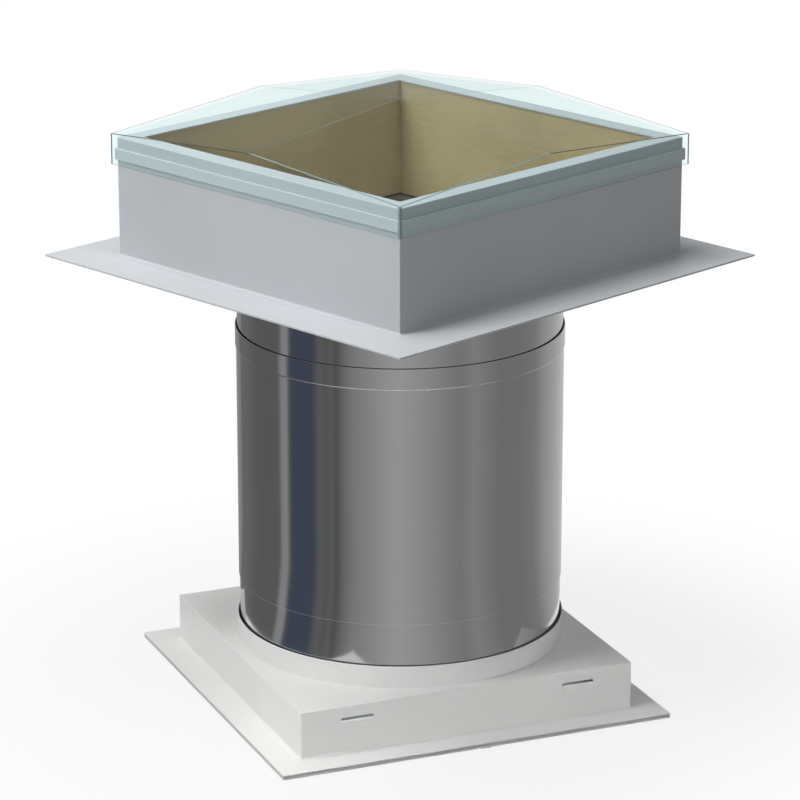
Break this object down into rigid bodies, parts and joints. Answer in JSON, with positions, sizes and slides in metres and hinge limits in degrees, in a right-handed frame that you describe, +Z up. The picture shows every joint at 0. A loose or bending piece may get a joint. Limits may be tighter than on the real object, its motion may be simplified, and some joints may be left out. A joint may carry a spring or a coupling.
{
  "type": "tubular skylight",
  "caption": "Flat-roof tubular skylight with a clear pyramid dome, an insulated kerb, a mirror-finished light tube and a white ceiling frame with an opal pane.",
  "frame": {"origin": "centre of the ceiling frame's underside, on the light tube's axis", "axes": "+Z up along the tube to the dome's apex, +X and +Y along the kerb's sides"},
  "size_m": [0.5776, 0.5776, 0.6495],
  "materials": {
    "clear_acrylic": "clear gloss",
    "foam_seal": "matt foam",
    "pale_seal": "matt",
    "kerb_paint": "satin light grey",
    "lining_board": "smooth khaki",
    "mirror_metal": "polished",
    "zinc_steel": "zinc plated",
    "edge_rubber": "matt black",
    "frame_white": "satin white",
    "opal_pane": "opal"
  },
  "bodies": {
    "root": {"dome_cover": "clear_acrylic", "dome_seal_tape": "pale_seal", "kerb_shell": "kerb_paint", "kerb_lining_right": "lining_board", "kerb_lining_back": "lining_board", "kerb_lining_left": "lining_board", "kerb_lining_front": "lining_board", "adapter_gasket": "foam_seal", "adapter_plate": "mirror_metal", "adapter_collar": "mirror_metal", "adapter_screws": "zinc_steel", "socket_seal": "edge_rubber", "light_tube": "mirror_metal", "lower_ring": "mirror_metal", "ring_edge_seal": "edge_rubber", "ceiling_box": "frame_white", "ceiling_box_top": "frame_white", "ceiling_collar": "frame_white", "pane_frame": "frame_white", "flange_seal": "foam_seal", "pane_gasket": "foam_seal", "diffuser_pane": "opal_pane", "pane_clips": "zinc_steel"}
  },
  "joints": []
}
